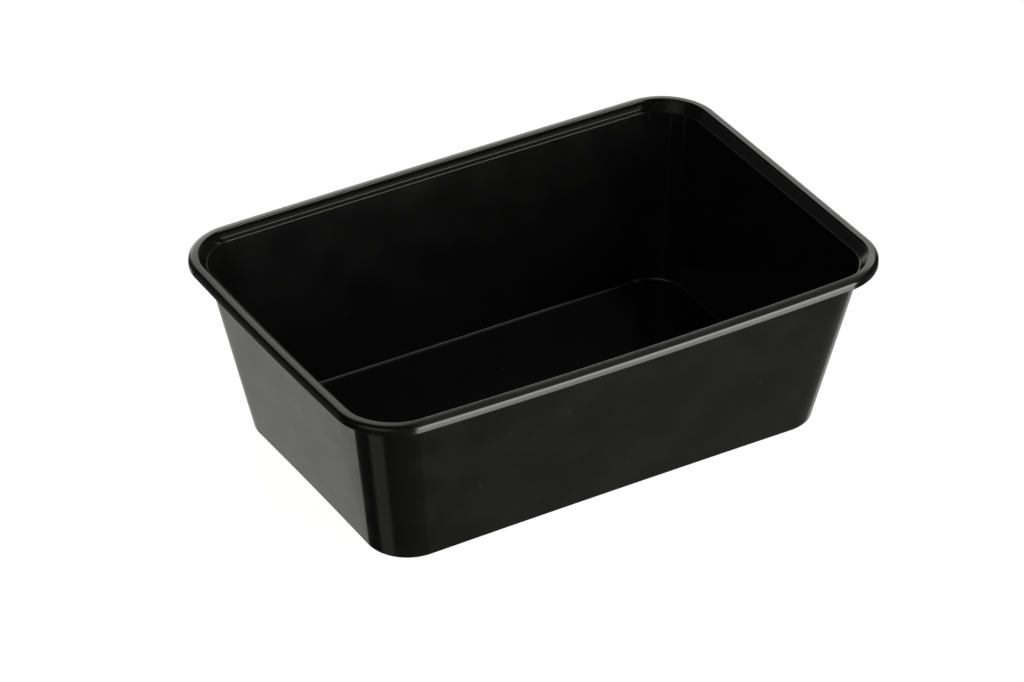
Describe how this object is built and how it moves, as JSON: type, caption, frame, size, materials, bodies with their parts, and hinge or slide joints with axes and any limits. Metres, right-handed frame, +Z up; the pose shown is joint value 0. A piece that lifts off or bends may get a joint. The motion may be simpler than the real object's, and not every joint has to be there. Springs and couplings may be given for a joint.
{
  "type": "takeaway meal container",
  "caption": "Open rectangular takeaway tub moulded in one piece, with outward leaning walls, rounded corners, an inner ledge and a flanged rim with a turned-down lip.",
  "frame": {"origin": "middle of the underside, on the plane that the foot ring stands on", "axes": "+X along the tub's long side, +Y across it, +Z up out of the open mouth"},
  "size_m": [0.175, 0.12, 0.056],
  "materials": {
    "black_plastic": "glossy black polypropylene, as it comes from a polished mould"
  },
  "bodies": {
    "root": {"container": "black_plastic"}
  },
  "joints": []
}
